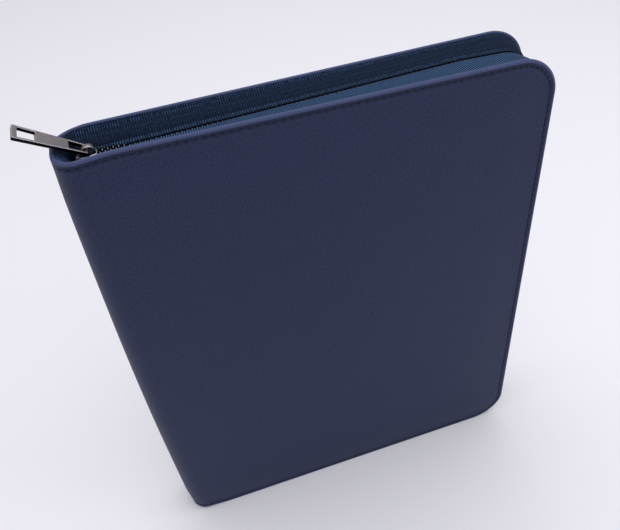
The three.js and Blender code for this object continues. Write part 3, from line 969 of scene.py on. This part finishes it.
def foam(side, name, material):
    """Thin padding under the leather, thinner still at its foot."""
    def shape(w, z, depth, n, number):
        return n + tuck(z) * (n < PADDING_TOP + 0.1)

    inset = RIM_DEPTH + 0.4
    rows = [(PADDING_TOP, d) for d in (10, 6, inset)] + [(PADDING_FOOT, d) for d in (inset, 6, 10)]
    section = [(depth, n, 2) for n, depth in rows]
    start = ARC_END + 1.5
    piece = sheet_solid(f"{name}_foam", side, section, shape, material, start=start)
    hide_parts(f"{name}_padding")
    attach(piece, f"{name}_cover")


def spine_stiffener(material):
    """A strip of board in the spine's round back."""
    wrap = SPINE_FLAT + RADIUS * math.radians(28)
    across = np.linspace(-wrap, wrap, 17)
    outer, inner = LEATHER + 0.2, LEATHER + 1.8
    w = np.concatenate([across, across[::-1]])[None, :]
    n = np.repeat([outer, inner], len(across))[None, :]
    z = np.linspace(9, HEIGHT - 9, 34)[:, None]
    w, n, z = np.broadcast_arrays(w, n, z)
    x, y = bend(np.abs(w), n, z, np.sign(w))
    faces = tube_faces(*w.shape)
    piece = mesh_object("spine_stiffener", to_frame(x, y, z), faces, materials=[material])
    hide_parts("spine_board")
    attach(piece, "spine")


# ---------------------------------------------------------------- pockets and pen loop

def thread_row(start, end, across, pitch=POCKET_STITCH_PITCH):
    """Points and faces of a straight row of stitches between two points in case coordinates."""
    start, end, across = (np.asarray(v, float) for v in (start, end, across))
    length = np.linalg.norm(end - start)
    way = (end - start) / length
    rise = np.cross(way, across)
    turn = np.linspace(0, 2 * math.pi, 6, endpoint=False)
    count = int(length / pitch)
    points, faces = [], []
    for i in range(count):
        base = len(points) * len(turn)
        for share, thick in ((0.12, 0.4), (0.25, 0.9), (0.5, 1.0), (0.75, 0.9), (0.88, 0.4)):
            centre = start + way * (i + share) * length / count
            ring = np.outer(np.cos(turn), across) + np.outer(np.sin(turn), rise)
            points.append(centre + 0.24 * thick * ring)
        faces += moved_faces(tube_faces(5, len(turn)), base)
    return np.concatenate(points), faces


def thread_rows(name, rows, material, body):
    points, faces = [], []
    for row in rows:
        base = sum(len(p) for p in points)
        more, around = thread_row(*row)
        points.append(more)
        faces += moved_faces(around, base)
    x, y, z = np.concatenate(points).T
    obj = mesh_object(name, to_frame(x, y, z), faces, materials=[material])
    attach(obj, body)
    return obj


def case_box(node):
    """A node's lowest and highest corners in case coordinates."""
    low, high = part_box(node)
    return tuple(np.array([(c.x - SPINE_X) / MM, c.y / MM, c.z / MM]) for c in (low, high))


def pocket(node, side, body, swell, material, thread):
    """A pocket's panel: sewn down on three sides, hemmed and a little slack along its open top."""
    low, high = case_box(node)
    x0, x1, z0, z1 = low[0], high[0], low[2], high[2]
    near_y, far_y = sorted(abs(v) for v in (low[1], high[1]))
    back, front = face_at(x1) - far_y, face_at(x0) - near_y
    hem = 11
    u = np.linspace(0, 1, 61)[None, :]
    tall = z1 - z0
    below_hem = np.linspace(0, (tall - hem - 1.2) / tall, 40)
    over_hem = 1 - np.linspace((hem + 0.6) / tall, 0, 9)
    v = np.concatenate([below_hem, over_hem])[:, None]
    x, z = np.broadcast_arrays(x0 + u * (x1 - x0), z0 + v * (z1 - z0))
    inside = np.minimum(np.minimum(x - x0, x1 - x), z - z0)
    lift = smooth((inside - 1.5) / 14)
    slack = swell * lift * (0.35 + 0.65 * v) * (1 + 0.3 * flat_noise(x, z, 45, 8.1))
    fold = 0.3 * smooth((z - (z1 - hem)) / 1.0) * smooth((inside - 1) / 2)
    sewn = 0.3 * (1 - smooth((inside - 0.5) / 1.5))
    top = front - 0.35 + slack + fold - sewn
    under = np.maximum(top - 0.55, back)
    faces = []
    rows, cols = x.shape
    ids = np.arange(rows * cols).reshape(rows, cols)
    for grid in (ids, ids + rows * cols):
        faces += grid_faces(grid)
    rim = np.concatenate([ids[0, :-1], ids[:-1, -1], ids[-1, 1:][::-1], ids[1:, 0][::-1]])
    after = np.roll(rim, -1)
    faces += np.stack([rim, after, after + rows * cols, rim + rows * cols], -1).tolist()
    grids = [to_frame(x, side * (face_at(x) - n), z).reshape(-1, 3) for n in (top, under)]
    uv = np.tile(np.stack([x, z], -1).reshape(-1, 2), (2, 1))
    piece = mesh_object(f"{node}_panel", np.concatenate(grids), faces, {"sheet": uv}, [material])
    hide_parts(node)
    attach(piece, body)

    def on_panel(px, pz):
        return (px, side * (face_at(px) - front + 0.1), pz)

    inset, across_x, across_z = 2.2, (1, 0, 0), (0, 0, 1)
    left, right, foot, head = x0 + inset, x1 - inset, z0 + inset, z1 - 0.5
    rows = [
        (on_panel(left, head), on_panel(left, foot), across_x),
        (on_panel(left, foot), on_panel(right, foot), across_z),
        (on_panel(right, foot), on_panel(right, head), across_x),
    ]
    stitching = thread_rows(f"{node}_stitching", rows, thread, body)


def pen_loop(material):
    """A ring of ribbed elastic, sewn to the lining along its back."""
    low, high = case_box("pen_loop")
    centre = (low + high) / 2
    half_x, half_y = (high[0] - low[0]) / 2, (high[1] - low[1]) / 2
    corner, wall = 4.0, 0.9
    turn = np.linspace(0, 2 * math.pi, 64, endpoint=False)
    cx = np.sign(np.cos(turn)) * (half_x - corner)
    cy = np.sign(np.sin(turn)) * (half_y - corner)
    z = np.linspace(low[2], high[2], 121)
    rib = 0.12 * np.cos(2 * math.pi * (z - low[2]) / 1.5)
    radius = np.concatenate([corner - 0.15 + rib, (corner - wall - 0.15 * rib)[::-1]])
    level = np.concatenate([z, z[::-1]])
    x = centre[0] + cx[:, None] + np.cos(turn)[:, None] * radius[None, :]
    y = centre[1] + cy[:, None] + np.sin(turn)[:, None] * radius[None, :]
    x, y, level = np.broadcast_arrays(x, y, level[None, :])
    around, size = x.shape
    faces = tube_faces(around, size, closed_ends=False)
    last, first = (around - 1) * size + np.arange(size), np.arange(size)
    faces += np.stack([last, np.roll(last, -1), np.roll(first, -1), first], -1).tolist()
    length = np.broadcast_to((turn * 6)[:, None], x.shape)
    uv = np.stack([length, level], -1).reshape(-1, 2)
    piece = mesh_object("pen_loop_elastic", to_frame(x, y, level), faces, {"sheet": uv}, [material])
    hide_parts("pen_loop")
    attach(piece, "back_cover")


# ---------------------------------------------------------------- slider, pull and stops

def plate(outline, holes, thickness, bevel):
    """A flat plate with rounded edges in its own X-Y plane: its points and faces, in millimetres."""
    data = bpy.data.curves.new("plate", "CURVE")
    data.dimensions = "2D"
    data.fill_mode = "BOTH"
    data.extrude = thickness / 2 - bevel
    data.bevel_depth = bevel
    data.bevel_resolution = 2
    data.offset = -bevel
    for ring in (outline, *holes):
        spline = data.splines.new("POLY")
        spline.points.add(len(ring) - 1)
        spline.points.foreach_set("co", [c for x, y in ring for c in (x, y, 0, 1)])
        spline.use_cyclic_u = True
    solid = bpy.data.objects.new("plate", data)
    bpy.context.scene.collection.objects.link(solid)
    evaluated = solid.evaluated_get(bpy.context.evaluated_depsgraph_get())
    mesh = bpy.data.meshes.new_from_object(evaluated)
    tidy = bmesh.new()
    tidy.from_mesh(mesh)
    bmesh.ops.remove_doubles(tidy, verts=tidy.verts, dist=1e-3)
    tidy.verts.index_update()
    points = np.array([v.co for v in tidy.verts])
    faces = [[v.index for v in face.verts] for face in tidy.faces]
    tidy.free()
    bpy.data.meshes.remove(mesh)
    bpy.data.objects.remove(solid)
    bpy.data.curves.remove(data)
    return points, faces


def rounded(corners, radius, steps=4):
    """A polygon's outline with each corner cut to an arc."""
    points = []
    for i, corner in enumerate(corners):
        corner = Vector(corner)
        before, after = Vector(corners[i - 1]), Vector(corners[(i + 1) % len(corners)])
        a = corner + (before - corner).normalized() * radius
        b = corner + (after - corner).normalized() * radius
        for k in range(steps + 1):
            t = k / steps
            points.append(tuple((1 - t) ** 2 * a + 2 * t * (1 - t) * corner + t * t * b))
    return points


def metal_piece(name, solids, place, materials, node, body):
    """One piece made of plates. place turns local points to case coordinates.

    Flat faces take the first material, edges the second and side walls the third. These are lit and shaded
    copies of one gunmetal: the bright one is a painted highlight and the darkest one painted shade.
    """
    points, faces, kinds = [], [], []
    for local, polygons in solids:
        base = sum(len(p) for p in points)
        points.append(local)
        for polygon in polygons:
            a, b, c = (local[i] for i in polygon[:3])
            normal = np.cross(b - a, c - a)
            tilt = abs(normal[2]) / max(np.linalg.norm(normal), 1e-9)
            kinds.append(0 if tilt > 0.97 else (2 if tilt < 0.2 else 1))
            faces.append([i + base for i in polygon])
    x, y, z = place(np.concatenate(points))
    obj = mesh_object(name, to_frame(x, y, z), faces, materials=materials, face_materials=kinds)
    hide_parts(node)
    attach(obj, body)


def zip_pull(materials):
    """A flat plate, wider at its far end, with a slot for the crown and a window to hold."""
    pivot = JOINTS["pull_swing"]["pos_m"]
    px, pz = (pivot[0] - SPINE_X) / MM, pivot[2] / MM
    low, high = case_box("zip_pull")
    tilt = math.radians(PULL_TILT)
    length = (px - low[0] - PULL_THICKNESS / 2 * math.sin(tilt)) / math.cos(tilt)
    far = high[1]
    near = far - 1.65

    def half(u):
        return near + (far - near) * u / length

    def ring(u0, u1, inset, radius):
        corners = [(u0, inset - half(u0)), (u1, inset - half(u1))]
        corners += [(u, -v) for u, v in corners[::-1]]
        return rounded(corners, radius)

    outline = ring(-0.8, length, 0, 0.8)
    slot, window = ring(0.9, 8.3, 1.15, 0.5), ring(23.3, 31.2, 1.25, 0.5)

    def place(local):
        u, y, up = local.T
        x = px - u * math.cos(tilt) + up * math.sin(tilt)
        return x, y, pz + u * math.sin(tilt) + up * math.cos(tilt)

    solids = [plate(outline, [slot, window], PULL_THICKNESS, 0.2)]
    metal_piece("pull_plate", solids, place, materials, "zip_pull", "pull")


def on_slider(along, y, up):
    """Slider coordinates (along the zip, across, above the tape) to case coordinates."""
    tilt = math.atan(ZIP_SLOPE)
    x = SLIDER_X + along * math.cos(tilt) - up * math.sin(tilt)
    return x, y, SLIDER_LEVEL + along * math.sin(tilt) + up * math.cos(tilt)


def slider_body(materials):
    """Two shield-shaped plates, wider at the end where the teeth part, and the wedge between them."""
    half = [(-5.5, 2.3), (-4.4, 4.0), (-0.5, 4.2), (3.9, 3.2)]
    shield = rounded(half + [(x, -y) for x, y in half[::-1]], 0.9)
    wedge = rounded([(-5.2, 0.01), (-3.2, 0.4), (-0.6, 0.01), (-3.2, -0.4)], 0.2)
    foot = SLIDER_LEVEL - case_box("slider_body")[0][2]
    solids = []
    layers = (
        (shield, 0.28, 0.2, 1.0),
        (wedge, 0.05, 0.4 - foot, 0.6),
        (shield, 0.28, -foot, 0.8 - foot),
    )
    for outline, bevel, low, high in layers:
        points, faces = plate(outline, [], high - low, bevel)
        solids.append((points + [0, 0, (low + high) / 2], faces))

    def place(local):
        return on_slider(*local.T)

    metal_piece("slider_shell", solids, place, materials, "slider_body", "slider")


def slider_crown(materials):
    """A rounded arch over the pull's cross bar."""
    low, high = case_box("slider_crown")
    width = high[1] - low[1]
    half, rise, wall = 3.4, high[2] - low[2], 0.75
    turn = np.linspace(0, math.pi, 25)
    arch = np.stack([np.cos(turn), np.sin(turn)], -1)
    arch = np.sign(arch) * np.abs(arch) ** 0.85
    outline = [*(arch * [half, rise]), *(arch * [half - wall, rise - wall])[::-1]]
    points, faces = plate([tuple(p) for p in outline], [], width, 0.25)

    def place(local):
        along, up, y = local.T
        return on_slider(along, y, up + CROWN_ABOVE_TAPE - 0.3)

    solids = [(points, faces)]
    metal_piece("slider_arch", solids, place, materials, "slider_crown", "slider")


def zip_stop(side, name, end, materials):
    node = f"{name}_{end}_stop"
    low, high = case_box(node)
    size, centre = high - low, (low + high) / 2
    corners = [(-size[0] / 2, -size[1] / 2), (size[0] / 2, -size[1] / 2)]
    corners += [(x, -y) for x, y in corners[::-1]]
    solid = plate(rounded(corners, 0.4), [], size[2], 0.3)

    def place(local):
        return (local + centre).T

    metal_piece(f"{node}_clip", [solid], place, materials, node, f"{name}_cover")


def paint(nodes, material):
    for node in nodes:
        data = frame["nodes"][node].data
        data.materials.clear()
        data.materials.append(material)


def main():
    aim_camera()
    light_studio()
    make_floor()
    leather = leather_material()
    thread = thread_material()
    cloth = cloth_material("lining_cloth", "252a3b", "383f55")
    pocket_cloth = cloth_material("pocket_cloth", "2e354b", "434b66")
    tapes = {FRONT: front_tape_material(), BACK: back_tape_material()}
    # Lit and shaded copies of one gunmetal: the brightest is a painted highlight for bevelled edges, the
    # darkest painted shade for side walls and for the faces of the slider, its crown and the stops.
    satin = metal_material("satin_gunmetal", "857e82", "958e92", 0.42)
    bright = metal_material("painted_highlight_edge", "a8a4a8", "c8c5c9", 0.22)
    dark = metal_material("painted_shade_gunmetal", "0e0c0e", "1a1719", 0.25)
    coil = metal_material("coil_plating", "4c4e56", "74777f", 0.16)
    foam_rubber = plain_material("foam", "cfcabb", "dedacd", 0.6, 0.95)
    board = plain_material("grey_board", "2c2e34", "3c3e46", 0.8, 0.9)
    for side, name in SIDES:
        leather_shell(side, name, leather)
        lining(side, name, cloth)
        stitches(side, name, thread)
        foam(side, name, foam_rubber)
        zip_tape(side, name, tapes[side])
        zip_coil(side, name, coil)
        for end in ("top", "bottom"):
            gusset_end(side, name, end, tapes[side])
            zip_stop(side, name, end, [dark, bright, dark])
    spine_stiffener(board)
    paint(["front_board", "back_board"], board)
    slider_body([dark, bright, dark])
    slider_crown([dark, bright, satin])
    zip_pull([satin, bright, dark])
    pocket("document_pocket", FRONT, "front_cover", 0.25, pocket_cloth, thread)
    for tier in (1, 2, 3):
        pocket(f"card_pocket_{tier}", FRONT, "front_cover", 0.12, pocket_cloth, thread)
    pocket("notepad_sleeve", BACK, "back_cover", 1.2, pocket_cloth, thread)
    pen_loop(elastic_material())


main()
